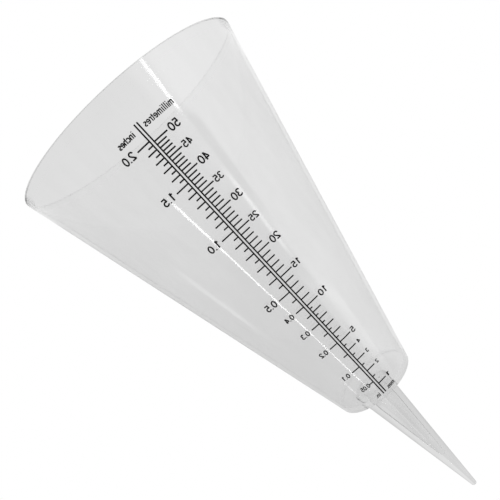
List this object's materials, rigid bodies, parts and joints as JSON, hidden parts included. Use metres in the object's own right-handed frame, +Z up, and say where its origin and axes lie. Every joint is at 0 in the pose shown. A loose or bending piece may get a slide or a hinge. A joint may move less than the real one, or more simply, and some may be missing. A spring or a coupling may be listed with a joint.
{
  "type": "rain gauge",
  "caption": "Clear conical rain gauge with a wide open mouth, a flat floor and printed rain scales, standing on a tapered ground spike that pulls off for emptying.",
  "frame": {"origin": "on the cup's axis at its underside, which is the soil line when the spike is pushed in", "axes": "+Z up along the cup's axis to the mouth; the printed scales are on the +Y side, millimetres towards -X and inches towards +X; the spike points to -Z"},
  "size_m": [0.1078, 0.1078, 0.2192],
  "materials": {
    "clear_cup": "clear, polished inside and out, faint grey tint",
    "clear_spike": "clear, thick walled, slightly greyer than the cup",
    "black_ink": "satin black print"
  },
  "bodies": {
    "spike": {"ground_spike": "clear_spike"},
    "cup": {"measuring_cone": "clear_cup", "millimetre_scale": "black_ink", "inch_scale": "black_ink"}
  },
  "joints": [
    {"name": "cup_lift", "type": "slide", "parent": "spike", "child": "cup", "axis": [0, 0, 1], "range_m": [0, 0.045]}
  ]
}
